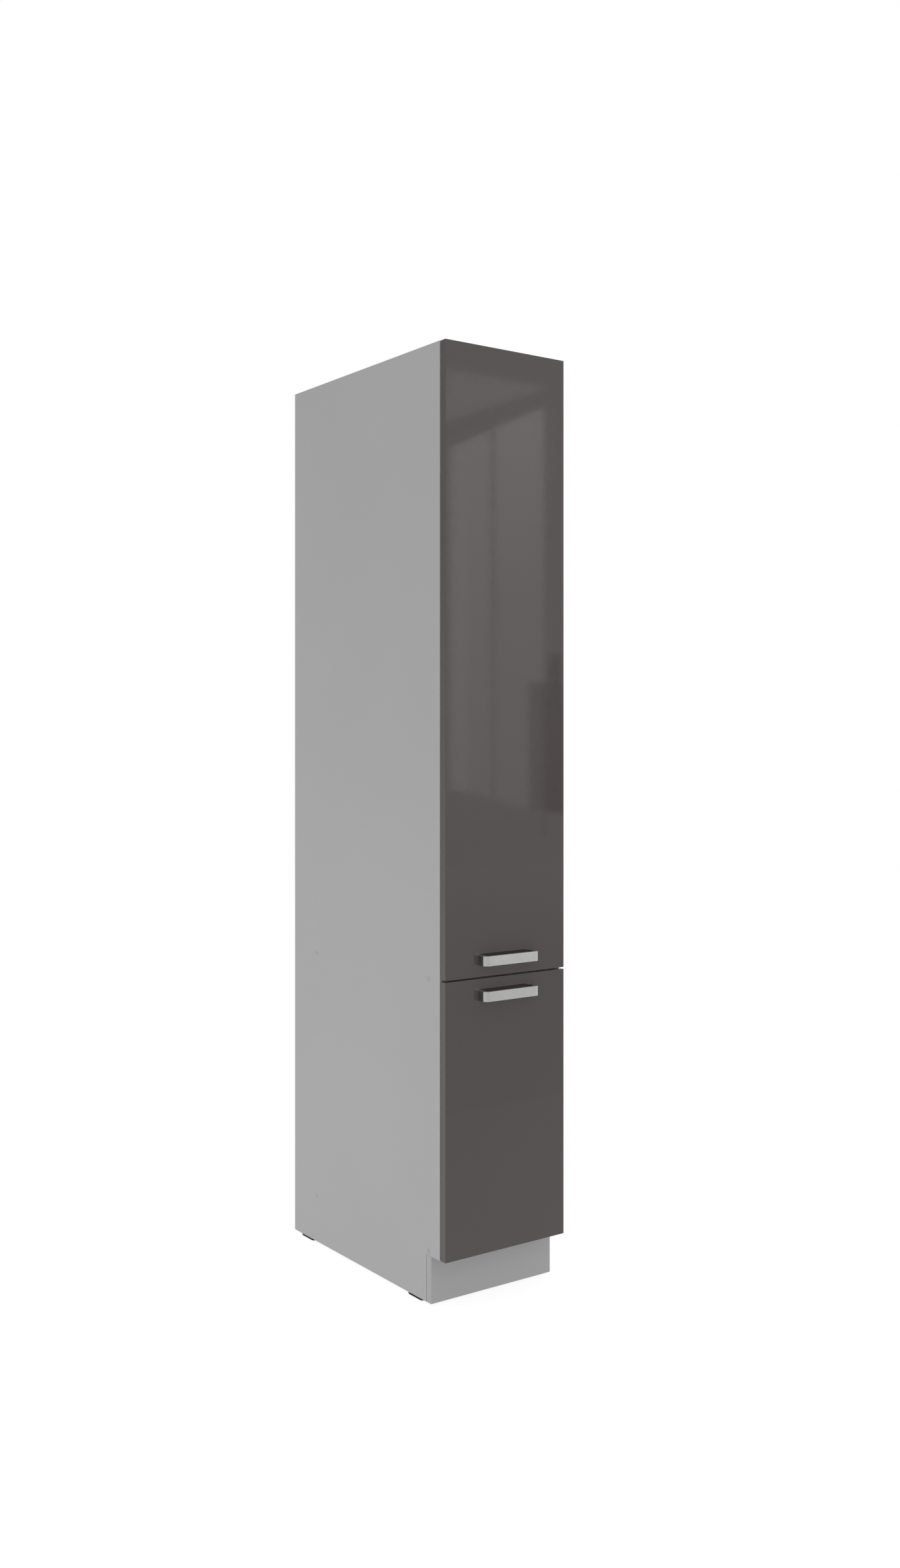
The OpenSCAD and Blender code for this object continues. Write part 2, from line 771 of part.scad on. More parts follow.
// A bent strip that keeps two rows of balls apart, with its balls
module ball_cages(z0, u_web, u_end, u_ball, v_ball) {
    color(zinc) both_sides() translate([-x_flange_in, 0, z_runner(z0)]) {
        difference() {
            along_y(y_cage, cage_l) difference() {
                translate([u_web, -v_ball - cage_t / 2]) square([u_end - u_web, 2 * v_ball + cage_t]);
                translate([u_web + cage_t, -v_ball + cage_t / 2]) square([u_end, 2 * v_ball - cage_t]);
            }
            for (i = [0 : balls_per_row - 1])
                translate([u_ball, y_cage + cage_margin + i * ball_pitch, -v_ball - cage_t])
                    cylinder(d = ball_d + 2 * cage_fit, h = 2 * (v_ball + cage_t));
        }
        for (i = [0 : balls_per_row - 1], s = [-1, 1])
            translate([u_ball, y_cage + cage_margin + i * ball_pitch, s * v_ball]) sphere(d = ball_d);
    }
}

module upper_outer_ball_cages() {
    ball_cages(z_floor_up, u_outer_cage, u_outer_cage_end, u_outer_ball, v_outer_ball);
}

module lower_outer_ball_cages() {
    ball_cages(z_floor_low, u_outer_cage, u_outer_cage_end, u_outer_ball, v_outer_ball);
}

module upper_inner_ball_cages() {
    ball_cages(z_floor_up, u_inner_cage, u_inner_cage_end, u_inner_ball, v_inner_ball);
}

module lower_inner_ball_cages() {
    ball_cages(z_floor_low, u_inner_cage, u_inner_cage_end, u_inner_ball, v_inner_ball);
}

// ---------- ceiling rails ----------

module ceiling_rail(zc) {
    color(zinc) difference() {
        translate([0, 0, zc]) along_y(y_runner, rail_l) difference() {
            translate([-rail_w / 2, -rail_h]) square([rail_w, rail_h]);
            translate([-rail_w / 2 + rail_wall, -rail_h + rail_wall])
                square([rail_w - 2 * rail_wall, rail_h - 2 * rail_wall]);
            translate([-rail_slot / 2, -rail_h - cut]) square([rail_slot, rail_h / 2]);
        }
        for (y = rail_screw_ys)
            rod([0, y, zc - rail_wall - cut], [0, 0, 1], wood_d + 2 * screw_fit, rail_wall + 2 * cut);
    }
}

module upper_ceiling_rail() {
    ceiling_rail(z_ceiling_up);
}

module lower_ceiling_rail() {
    ceiling_rail(z_ceiling_low);
}

// ---------- fronts and handles ----------

module front_panel(z0, z1, z_handle, bracket_zs) {
    color(graphite) difference() {
        block([-x_out + front_reveal, y_front_face, z0], [x_out - front_reveal, y_front_back, z1]);
        for (s = [-1, 1])
            rod([s * handle_cc / 2, y_front_face - cut, z_handle], [0, 1, 0], handle_screw_d + 2 * screw_fit,
                front_t + 2 * cut);
        front_screw_places(bracket_zs) wood_hole([0, y_front_back, 0], [0, -1, 0]);
    }
}

// Where the wood screws go through the plates on the uprights
module front_screw_places(bracket_zs) {
    for (z = bracket_zs, sx = [-1, 1], sz = [-1, 1])
        translate([sx * bracket_screw_x, 0, z + sz * bracket_screw_z]) children();
}

module upper_front() {
    front_panel(z_split + front_gap / 2, z_top, z_handle_up, upper_bracket_zs);
}

module lower_front() {
    front_panel(z_base, z_split - front_gap / 2, z_handle_low, lower_bracket_zs);
}

// A flat outline from y to 0, half_l to each side, with round corners at y
module bow_outline(half_l, y, r) {
    intersection() {
        union() {
            translate([-half_l, y + r]) square([2 * half_l, -y]);
            translate([-half_l + r, y]) square([2 * (half_l - r), -y]);
            for (s = [-1, 1]) translate([s * (half_l - r), y + r]) circle(r);
        }
        translate([-half_l, y]) square([2 * half_l, -y]);
    }
}

// A bow handle: a round-cornered outline in plan, less the finger gap, drawn to the handle's height
module handle(z) {
    color(satin) difference() {
        translate([0, y_front_face, z - handle_h / 2]) linear_extrude(handle_h) difference() {
            bow_outline((handle_cc + handle_leg) / 2, -handle_proj, handle_r);
            translate([0, cut]) bow_outline((handle_cc - handle_leg) / 2, -handle_proj + handle_bar - cut,
                                            handle_inner_r);
        }
        for (s = [-1, 1])
            rod([s * handle_cc / 2, y_front_face + cut, z], [0, -1, 0], handle_screw_d + 2 * screw_fit,
                handle_screw_in + hole_end + cut);
    }
}

module upper_handle() {
    handle(z_handle_up);
}

module lower_handle() {
    handle(z_handle_low);
}

module handle_screws(z) {
    color(zinc) for (s = [-1, 1])
        screw([s * handle_cc / 2, y_front_back, z], [0, -1, 0], handle_screw_d, front_t + handle_screw_in,
              2 * handle_screw_d, handle_head_h);
}

module upper_handle_screws() {
    handle_screws(z_handle_up);
}

module lower_handle_screws() {
    handle_screws(z_handle_low);
}

module front_brackets(bracket_zs) {
    color(frame_grey) for (z = bracket_zs) translate([0, 0, z]) along_y(y_front_back, bracket_t) difference() {
        round_rect(bracket_w, bracket_h, bracket_r);
        for (sx = [-1, 1], sz = [-1, 1]) translate([sx * bracket_screw_x, sz * bracket_screw_z])
            pill(bracket_slot_l, bracket_slot_d);
    }
}

module upper_front_brackets() {
    front_brackets(upper_bracket_zs);
}

module lower_front_brackets() {
    front_brackets(lower_bracket_zs);
}

module front_screws(bracket_zs) {
    color(zinc) front_screw_places(bracket_zs) wood_screw([0, y_front_back + bracket_t, 0], [0, -1, 0]);
}

module upper_front_screws() {
    front_screws(upper_bracket_zs);
}

module lower_front_screws() {
    front_screws(lower_bracket_zs);
}

// ---------- frames ----------

// A bent sheet over the inner runner members: two skirts and a deck with windows
module carriage(z0) {
    window_pitch = frame_d / deck_windows;
    color(frame_grey) difference() {
        union() {
            block([-x_inner_web, y_frame, z_deck(z0)], [x_inner_web, y_frame_rear, z_frame(z0)]);
            both_sides() block([-x_inner_web, y_runner, z_runner(z0) - skirt_drop],
                               [-x_inner_web + sheet_t, y_runner + runner_l, z_frame(z0)]);
        }
        for (i = [0 : deck_windows - 1])
            translate([0, y_frame + (i + 0.5) * window_pitch, z_deck(z0) - cut])
                linear_extrude(sheet_t + 2 * cut) round_rect(deck_window_w, deck_window_l, deck_window_r);
    }
}

module upper_carriage() {
    carriage(z_floor_up);
}

module lower_carriage() {
    carriage(z_floor_low);
}

// A rectangular tube from the carriage to the top bar, with hook holes in the wall at y_face
module upright(z0, zc, y0, y_face) {
    z1 = z_bar(zc);
    color(frame_grey) difference() {
        block([-upright_w / 2, y0, z_frame(z0)], [upright_w / 2, y0 + upright_d, z1]);
        block([-upright_w / 2 + tube_wall, y0 + tube_wall, z_frame(z0) - cut],
              [upright_w / 2 - tube_wall, y0 + upright_d - tube_wall, z1 + cut]);
        for (row = [0 : hook_rows(z0, zc)], s = [-1, 1])
            rod([s * hook_hole_x, y_face - tube_wall - cut, z_hook(z0, row)], [0, 1, 0],
                hook_pin_d + 2 * screw_fit, 2 * (tube_wall + cut));
    }
}

module front_upright(z0, zc) {
    upright(z0, zc, y_frame, y_frame + upright_d);
}

module rear_upright(z0, zc) {
    upright(z0, zc, y_frame_rear - upright_d, y_frame_rear - upright_d);
}

module upper_front_upright() {
    front_upright(z_floor_up, z_ceiling_up);
}

module lower_front_upright() {
    front_upright(z_floor_low, z_ceiling_low);
}

module upper_rear_upright() {
    rear_upright(z_floor_up, z_ceiling_up);
}

module lower_rear_upright() {
    rear_upright(z_floor_low, z_ceiling_low);
}

// A tube over both uprights, with the riveted pin that the guide roller turns on
module top_bar(zc) {
    z0 = z_bar(zc);
    z1 = z0 + bar_h;
    z_cap = z_roller(zc) + roller_h + roller_end_fit;
    color(frame_grey) {
        difference() {
            block([-bar_w / 2, y_frame, z0], [bar_w / 2, y_frame_rear + bar_overhang, z1]);
            block([-bar_w / 2 + tube_wall, y_frame - cut, z0 + tube_wall],
                  [bar_w / 2 - tube_wall, y_frame_rear + bar_overhang + cut, z1 - tube_wall]);
        }
        rod([0, y_roller, z0 + tube_wall / 2], [0, 0, 1], roller_pin_d, z_cap - z0);
        rod([0, y_roller, z1 - tube_wall / 2], [0, 0, 1], 2 * pin_shoulder_r,
            z_roller(zc) - roller_end_fit - z1 + tube_wall / 2);
        rod([0, y_roller, z_cap], [0, 0, 1], 2 * pin_shoulder_r, pin_cap_t);
    }
}

module upper_top_bar() {
    top_bar(z_ceiling_up);
}

module lower_top_bar() {
    top_bar(z_ceiling_low);
}

module guide_roller(zc) {
    color(pale_nylon) translate([0, y_roller, z_roller(zc)]) difference() {
        cylinder(r = roller_r, h = roller_h);
        translate([0, 0, -cut]) cylinder(d = roller_pin_d + 2 * bore_fit, h = roller_h + 2 * cut);
        for (z = [-cut, roller_h - roller_dish]) translate([0, 0, z]) difference() {
            cylinder(r = roller_r - roller_rim, h = roller_dish + cut);
            cylinder(r = pin_shoulder_r, h = roller_dish + cut);
        }
    }
}

module upper_guide_roller() {
    guide_roller(z_ceiling_up);
}

module lower_guide_roller() {
    guide_roller(z_ceiling_low);
}

// One hook pin: its collar lies on the upright's wall at y, and dir points away from the wall
module hook_pin(x, y, z, dir) {
    reach = pin_collar_t + 2 * plate_fit + hook_t;
    rod([x, y - dir * pin_in_tube, z], [0, dir, 0], hook_pin_d, pin_in_tube + reach + pin_head_t);
    rod([x, y, z], [0, dir, 0], pin_collar_d, pin_collar_t);
    rod([x, y + dir * reach, z], [0, dir, 0], pin_collar_d, pin_head_t);
}

module hook_pins(z0, rows) {
    color(zinc) for (row = rows, s = [-1, 1]) {
        hook_pin(s * hook_hole_x, y_frame + upright_d, z_hook(z0, row), 1);
        hook_pin(s * hook_hole_x, y_frame_rear - upright_d, z_hook(z0, row), -1);
    }
}

module upper_hook_pins() {
    hook_pins(z_floor_up, upper_tray_rows);
}

module lower_hook_pins() {
    hook_pins(z_floor_low, lower_tray_rows);
}

// ---------- trays ----------

// The plate at a tray's end, with two slots that drop over the hook pins
module hook_plate() {
    difference() {
        translate([-hook_w / 2, hook_plate_low]) square([hook_w, tray_h - hook_plate_low]);
        for (s = [-1, 1]) {
            translate([s * hook_hole_x, hook_height]) circle(d = hook_pin_d + 2 * pin_fit);
            translate([s * hook_hole_x - hook_pin_d / 2 - pin_fit, hook_plate_low - cut])
                square([hook_pin_d + 2 * pin_fit, hook_height - hook_plate_low + cut]);
        }
    }
}

// A closed band in plan, t thick, inside the tray's outline
module tray_band(t) {
    difference() {
        round_rect(2 * tray_x, tray_l, tray_r);
        round_rect(2 * (tray_x - t), tray_l - 2 * t, tray_r - t);
    }
}

// A sheet tray with a folded rim, two rails of flat bar on posts, and a hook plate at each end
module tray(z0, row) {
    post_pitch = (tray_l - 2 * tray_r - post_w) / (side_posts - 1);
    gap = 2 * hook_hole_x + pin_collar_d + 2 * pin_clear;
    color(bright_steel) translate([0, y_tray_mid, z_hook(z0, row) - hook_height]) {
        linear_extrude(tray_t) round_rect(2 * tray_x, tray_l, tray_r);
        linear_extrude(tray_rim_h) tray_band(tray_t);
        translate([0, 0, tray_h - tray_bar_h]) linear_extrude(tray_bar_h) tray_band(tray_bar_t);
        translate([0, 0, tray_low_rail - tray_bar_h / 2]) linear_extrude(tray_bar_h) difference() {
            tray_band(tray_bar_t);
            square([gap, 2 * tray_l], center = true);
        }
        both_sides() {
            for (i = [0 : side_posts - 1]) translate([0, (i - (side_posts - 1) / 2) * post_pitch, 0])
                block([-tray_x, -post_w / 2, 0], [-tray_x + tray_bar_t, post_w / 2, tray_h]);
            for (y = [-tray_l / 2, tray_l / 2 - tray_bar_t])
                block([-(end_post_pitch + post_w) / 2, y, 0],
                      [-(end_post_pitch - post_w) / 2, y + tray_bar_t, tray_h]);
        }
        along_y(tray_weld - tray_l / 2 - hook_t, hook_t) hook_plate();
        along_y(tray_l / 2 - tray_weld, hook_t) hook_plate();
    }
}

module upper_tray_1() {
    tray(z_floor_up, upper_tray_rows[0]);
}

module upper_tray_2() {
    tray(z_floor_up, upper_tray_rows[1]);
}

module upper_tray_3() {
    tray(z_floor_up, upper_tray_rows[2]);
}

module upper_tray_4() {
    tray(z_floor_up, upper_tray_rows[3]);
}

module lower_tray_1() {
    tray(z_floor_low, lower_tray_rows[0]);
}

module lower_tray_2() {
    tray(z_floor_low, lower_tray_rows[1]);
}

side_panel_left();
side_panel_right();
bottom_panel();
middle_shelf();
top_panel();
back_panel();
plinth_board();
plinth_blocks();
glides();
glide_nails();
connecting_screws();
screw_caps();
cam_fittings();
dowels();
back_nails();
wall_brackets();
wood_screws();
door_bumpers();
upper_runner_base();
lower_runner_base();
upper_outer_runners();
lower_outer_runners();
upper_ceiling_rail();
lower_ceiling_rail();
upper_front();
upper_handle();
upper_handle_screws();
upper_inner_runners();
upper_carriage();
upper_front_upright();
upper_rear_upright();
upper_top_bar();
upper_front_brackets();
upper_front_screws();
upper_hook_pins();
upper_guide_roller();
upper_middle_runners();
upper_outer_ball_cages();
upper_inner_ball_cages();
upper_tray_1();
upper_tray_2();
upper_tray_3();
upper_tray_4();
lower_front();
lower_handle();
lower_handle_screws();
lower_inner_runners();
lower_carriage();
lower_front_upright();
lower_rear_upright();
lower_top_bar();
lower_front_brackets();
lower_front_screws();
lower_hook_pins();
lower_guide_roller();
lower_middle_runners();
lower_outer_ball_cages();
lower_inner_ball_cages();
lower_tray_1();
lower_tray_2();
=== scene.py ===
import json
import math

import bmesh
import bpy
from mathutils import Matrix, Vector


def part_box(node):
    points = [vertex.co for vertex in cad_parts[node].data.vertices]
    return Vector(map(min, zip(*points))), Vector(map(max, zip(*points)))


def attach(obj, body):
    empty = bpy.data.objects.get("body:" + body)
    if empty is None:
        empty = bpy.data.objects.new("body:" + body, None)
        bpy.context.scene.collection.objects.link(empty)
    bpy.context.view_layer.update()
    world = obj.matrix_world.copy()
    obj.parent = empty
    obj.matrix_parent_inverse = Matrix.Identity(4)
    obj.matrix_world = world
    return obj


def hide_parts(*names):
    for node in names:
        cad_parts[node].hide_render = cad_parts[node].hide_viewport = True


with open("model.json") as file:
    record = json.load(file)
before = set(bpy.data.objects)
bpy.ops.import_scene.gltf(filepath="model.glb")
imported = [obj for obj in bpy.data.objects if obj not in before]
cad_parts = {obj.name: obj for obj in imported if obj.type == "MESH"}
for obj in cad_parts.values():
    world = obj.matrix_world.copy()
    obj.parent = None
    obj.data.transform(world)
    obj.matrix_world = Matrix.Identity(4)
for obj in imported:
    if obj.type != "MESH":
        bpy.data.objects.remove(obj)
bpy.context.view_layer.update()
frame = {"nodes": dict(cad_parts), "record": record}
body_of_node = {node: body for body, nodes in frame["record"]["behaviour"]["bodies"].items() for node in nodes}
slot_of_node = {row["node"]: row["material_slot"] for row in frame["record"]["subparts"]}
scene = bpy.context.scene
MM = 0.001

# ---------- materials ----------


def material(name, **sockets):
    """A material with one Principled shader; what is the same all over is set on the shader's own sockets."""
    mat = bpy.data.materials.new(name)
    mat.use_nodes = True
    shader = mat.node_tree.nodes["Principled BSDF"]
    for key, value in sockets.items():
        shader.inputs[key.replace("_", " ")].default_value = value
    return mat


def add(mat, kind, inputs=None, **settings):
    """A new node; inputs holds numbers and colours, or the sockets that they are linked to."""
    node = mat.node_tree.nodes.new("ShaderNode" + kind)
    for key, value in settings.items():
        setattr(node, key, value)
    for key, value in (inputs or {}).items():
        if isinstance(value, bpy.types.NodeSocket):
            mat.node_tree.links.new(value, node.inputs[key])
        else:
            node.inputs[key].default_value = value
    return node


def shade(mat, socket, source):
    mat.node_tree.links.new(source, mat.node_tree.nodes["Principled BSDF"].inputs[socket])


def place(mat, stretch=(1, 1, 1)):
    """Coordinates on the piece itself, in metres, stretched along X, Y and Z."""
    coords = add(mat, "TexCoord").outputs["Object"]
    return add(mat, "Mapping", {"Vector": coords, "Scale": stretch}).outputs["Vector"]


def noise(mat, at, scale, detail=2.0, rough=0.5):
    inputs = {"Vector": at, "Scale": scale, "Detail": detail, "Roughness": rough}
    return add(mat, "TexNoise", inputs).outputs["Fac"]


def spread(mat, value, low, high, from_low=0.3, from_high=0.7):
    """The value's own range, by default that of a noise, mapped to low and high."""
    return add(mat, "MapRange", {"Value": value, "From Min": from_low, "From Max": from_high, "To Min": low,
                                 "To Max": high}).outputs["Result"]


def scaled(colour, by):
    return tuple(c * by for c in colour)


# where a Mix node has its sockets for colours; it has others of the same names for numbers and vectors
MIX_FACTOR, MIX_A, MIX_B, MIX_RESULT = 0, 6, 7, 2


def blend_colours(mat, factor, dark, light):
    node = add(mat, "Mix", data_type="RGBA")
    mat.node_tree.links.new(factor, node.inputs[MIX_FACTOR])
    for i, colour in ((MIX_A, dark), (MIX_B, light)):
        if isinstance(colour, bpy.types.NodeSocket):
            mat.node_tree.links.new(colour, node.inputs[i])
        else:
            node.inputs[i].default_value = (*colour, 1)
    return node.outputs[MIX_RESULT]


def drifting(mat, at, colour, share, scale, detail=2.0):
    """The colour, darker and lighter by this share in soft drifts."""
    drift = noise(mat, at, scale, detail)
    return blend_colours(mat, spread(mat, drift, 0, 1), scaled(colour, 1 - share), scaled(colour, 1 + share))


def bump(mat, height, distance, strength=1.0, under=None):
    inputs = {"Height": height, "Distance": distance, "Strength": strength}
    if under is not None:
        inputs["Normal"] = under
    return add(mat, "Bump", inputs).outputs["Normal"]


def melamine(name, colour, gloss=0.5):
    """Matt melamine-faced board: a fine pearl grain, with faint drifts of tone."""
    mat = material(name)
    at = place(mat)
    tone = drifting(mat, at, colour, share=0.015, scale=2.6, detail=3.0)
    fleck = noise(mat, at, scale=900.0, rough=0.6)
    tone = blend_colours(mat, spread(mat, fleck, 0, 0.10), tone, scaled(colour, 1.12))
    shade(mat, "Base Color", tone)
    shade(mat, "Roughness", spread(mat, noise(mat, at, scale=420.0, detail=3.0), gloss - 0.06, gloss + 0.06))
    shade(mat, "Normal", bump(mat, noise(mat, at, scale=1300.0, detail=3.0, rough=0.6), 0.00003, 0.6))
    return mat


def chipboard(name):
    """The raw edge of a chipboard: pressed flakes with a fine, dark grain."""
    mat = material(name, Roughness=0.85)
    at = place(mat)
    flake = add(mat, "TexVoronoi", {"Vector": at, "Scale": 520.0}, feature="F1").outputs["Color"]
    fine = noise(mat, at, scale=1500.0, detail=4.0, rough=0.7)
    tone = blend_colours(mat, flake, (0.34, 0.26, 0.17), (0.54, 0.44, 0.31))
    tone = blend_colours(mat, spread(mat, fine, 0, 0.55), tone, (0.23, 0.165, 0.10))
    shade(mat, "Base Color", tone)
    shade(mat, "Normal", bump(mat, fine, 0.0004, 0.8))
    return mat


def hardboard(name):
    """The raw back of a hardboard: brown fibres under the print of a wire mesh."""
    mat = material(name, Roughness=0.75)
    at = place(mat)
    fibre = noise(mat, at, scale=700.0, detail=5.0, rough=0.75)
    shade(mat, "Base Color", blend_colours(mat, fibre, (0.20, 0.12, 0.065), (0.34, 0.22, 0.13)))
    mesh = add(mat, "TexVoronoi", {"Vector": at, "Scale": 900.0}, feature="DISTANCE_TO_EDGE").outputs["Distance"]
    shade(mat, "Normal", bump(mat, mesh, 0.0002, 0.5, bump(mat, fibre, 0.0001)))
    return mat


def lacquer(name, colour):
    """High-gloss lacquer: a clear mirror over a dark ground, with a trace of orange peel."""
    mat = material(name, IOR=1.5)
    at = place(mat)
    shade(mat, "Base Color", drifting(mat, at, colour, share=0.02, scale=3.0))
    shade(mat, "Roughness", spread(mat, noise(mat, at, scale=60.0), 0.035, 0.06))
    shade(mat, "Normal", bump(mat, noise(mat, at, scale=110.0, detail=1.0), 0.000012, 0.5))
    return mat


def satin_metal(name, colour, stretch, rough, grain):
    """Satin metal: hair lines along the axis that is stretched least."""
    mat = material(name, Metallic=1.0)
    hair = noise(mat, place(mat, stretch), scale=1.0, detail=3.0, rough=0.6)
    shade(mat, "Base Color", drifting(mat, place(mat), colour, share=0.04, scale=25.0))
    shade(mat, "Roughness", spread(mat, hair, rough - 0.05, rough + 0.07))
    shade(mat, "Normal", bump(mat, hair, grain, 0.7))
    return mat


def zinc_plate(name):
    """Bright zinc plate: soft spangles, rolling lines and a few dull patches."""
    mat = material(name, Metallic=1.0)
    at = place(mat)
    spangle = add(mat, "TexVoronoi", {"Vector": at, "Scale": 160.0, "Randomness": 1.0}, feature="SMOOTH_F1")
    line = noise(mat, place(mat, (900, 6, 900)), scale=1.0, detail=3.0, rough=0.6)
    dull = noise(mat, at, scale=14.0, detail=4.0, rough=0.6)
    tone = blend_colours(mat, spangle.outputs["Color"], (0.55, 0.56, 0.57), (0.68, 0.69, 0.70))
    patches = spread(mat, dull, 0, 0.35, 0.45, 0.75)
    shade(mat, "Base Color", blend_colours(mat, patches, tone, (0.50, 0.51, 0.50)))
    shade(mat, "Roughness", spread(mat, dull, 0.24, 0.42))
    shade(mat, "Normal", bump(mat, line, 0.00001, 0.6))
    return mat


def powder_coat(name, colour):
    mat = material(name, Coat_Weight=0.15, Coat_Roughness=0.3)
    at = place(mat)
    shade(mat, "Base Color", drifting(mat, at, colour, share=0.03, scale=8.0))
    shade(mat, "Roughness", spread(mat, noise(mat, at, scale=300.0), 0.38, 0.48))
    shade(mat, "Normal", bump(mat, noise(mat, at, scale=700.0, rough=0.55), 0.00008, 0.5))
    return mat


def bright_chrome(name):
    mat = material(name, Metallic=1.0)
    at = place(mat)
    cloud = noise(mat, at, scale=40.0, detail=3.0, rough=0.6)
    tone = blend_colours(mat, spread(mat, cloud, 0, 1), (0.70, 0.71, 0.73), (0.80, 0.81, 0.82))
    shade(mat, "Base Color", tone)
    shade(mat, "Roughness", spread(mat, cloud, 0.07, 0.16))
    shade(mat, "Normal", bump(mat, noise(mat, at, scale=500.0), 0.000006, 0.5))
    return mat


def moulded(name, colour, rough, **sockets):
    """Moulded plastic with a fine spark-eroded grain."""
    mat = material(name, **sockets)
    at = place(mat)
    shade(mat, "Base Color", drifting(mat, at, colour, share=0.06, scale=30.0))
    shade(mat, "Roughness", spread(mat, noise(mat, at, scale=200.0), rough - 0.06, rough + 0.08))
    shade(mat, "Normal", bump(mat, noise(mat, at, scale=1100.0), 0.00005, 0.5))
    return mat


def beech(name):
    mat = material(name, Roughness=0.6)
    grain = noise(mat, place(mat, (35, 900, 900)), scale=1.0, detail=4.0, rough=0.6)
    shade(mat, "Base Color", blend_colours(mat, grain, (0.50, 0.34, 0.19), (0.68, 0.50, 0.31)))
    shade(mat, "Normal", bump(mat, grain, 0.0001, 0.5))
    return mat


PEARL = (1.012, 0.990, 1.0)
BOARD = melamine("board_face", scaled(PEARL, 0.296))
# painted shade: the plinth is the board's own melamine made a little darker, standing in for the shadow under the
# fronts' overhang
SHADED_PLINTH = melamine("plinth_face_painted_shade", scaled(PEARL, 0.284))
RAW_EDGE = chipboard("raw_chipboard")
HARDBOARD = hardboard("raw_hardboard")
LACQUER = lacquer("graphite_lacquer", (0.0515, 0.0423, 0.0401))
FRONT_BACK = melamine("front_back_face", scaled((1.08, 0.97, 0.95), 0.085), gloss=0.38)
SATIN = satin_metal("satin_chrome", (0.495, 0.493, 0.490), stretch=(60, 5200, 5200), rough=0.09, grain=0.000004)
ZINC = zinc_plate("zinc_plate")
FRAME_COAT = powder_coat("silver_powder_coat", (0.34, 0.35, 0.36))
CHROME = bright_chrome("bright_chrome")
NYLON = moulded("natural_nylon", (0.78, 0.77, 0.72), 0.42, Subsurface_Weight=0.15, Subsurface_Scale=0.002)
WHITE_PLASTIC = moulded("off_white_plastic", (0.72, 0.71, 0.67), 0.45)
BLACK_PLASTIC = moulded("black_plastic", (0.004, 0.004, 0.004), 0.6, Specular_IOR_Level=0.1)
CAP_PLASTIC = moulded("cap_plastic", (0.275, 0.270, 0.275), 0.5)
BEECH = beech("beech")

OF_SLOT = {"carcass_board": BOARD, "back_board": BOARD, "plinth_board": SHADED_PLINTH, "white_plastic": WHITE_PLASTIC,
           "black_plastic": BLACK_PLASTIC, "cap_plastic": CAP_PLASTIC, "beech": BEECH, "plated_steel": ZINC,
           "gloss_front": LACQUER, "satin_chrome": SATIN, "frame_coat": FRAME_COAT, "nylon": NYLON,
           "tray_chrome": CHROME}

# ---------- pieces ----------

SAME_PLACE = 1e-6
FLAT_ANGLE = math.radians(0.3)
BEVEL_ANGLE = math.radians(32)
FACING = 0.9


def put(node, mesh):
    """Shows a mesh in place of its CAD node; it rides on the node's body."""
    piece = bpy.data.objects.new(node + "_piece", mesh)
    scene.collection.objects.link(piece)
    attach(piece, body_of_node[node])
    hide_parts(node)
    return piece


def mesh_from(bm, name, *materials):
    mesh = bpy.data.meshes.new(name)
    bm.to_mesh(mesh)
    bm.free()
    for mat in materials:
        mesh.materials.append(mat)
    for face in mesh.polygons:
        face.use_smooth = True
    return mesh


def bevelled(piece, width, segments=2):
    """Rounds the piece's edges by this width in metres; its flat faces keep a flat shading."""
    bevel = piece.modifiers.new("bevel", "BEVEL")
    bevel.limit_method = "ANGLE"
    bevel.angle_limit = BEVEL_ANGLE
    bevel.width = width
    bevel.segments = segments
    bevel.material = 0
    bevel.use_clamp_overlap = False
    bevel.loop_slide = False
    normals = piece.modifiers.new("weighted normals", "WEIGHTED_NORMAL")
    normals.mode = "FACE_AREA"
    normals.weight = 100
    return piece


def merged(node):
    """The CAD node's mesh with its triangles sharing their corners."""
    bm = bmesh.new()
    bm.from_mesh(frame["nodes"][node].data)
    bmesh.ops.remove_doubles(bm, verts=bm.verts, dist=SAME_PLACE)
    return bm


def clean_copy(node):
    """The CAD node's mesh with its triangles joined into flat faces."""
    bm = merged(node)
    bmesh.ops.dissolve_limit(bm, angle_limit=FLAT_ANGLE, verts=bm.verts, edges=bm.edges)
    return bm


def dress(node, width, segments=2, other=None, where=None):
    """The node with edges rounded by this width in metres. Faces for which where(face) holds get the other
    material."""
    bm = clean_copy(node)
    materials = [OF_SLOT[slot_of_node[node]]]
    if other:
        materials.append(other)
        for face in bm.faces:
            if where(face):
                face.material_index = 1
    bevelled(put(node, mesh_from(bm, node + "_piece", *materials)), width, segments)


def rear(face):
    return face.normal.y > FACING


def rear_or_top(face):
    return rear(face) or face.normal.z > FACING


def rear_or_end(face):
    return rear(face) or abs(face.normal.x) > FACING


def rear_or_edge(face):
    return rear_or_end(face) or abs(face.normal.z) > FACING


for node in ("side_panel_left", "side_panel_right"):
    dress(node, 0.0004, other=RAW_EDGE, where=rear_or_top)
for node in ("bottom_panel", "middle_shelf", "top_panel"):
    dress(node, 0.0004, other=RAW_EDGE, where=rear_or_end)
dress("back_panel", 0.0002, segments=1, other=HARDBOARD, where=rear_or_edge)
dress("plinth_board", 0.0007, other=RAW_EDGE, where=rear_or_top)
for node in ("upper_front", "lower_front"):
    dress(node, 0.0005, segments=3, other=FRONT_BACK, where=rear)
for node in ("upper_handle", "lower_handle"):
    dress(node, 0.0003)

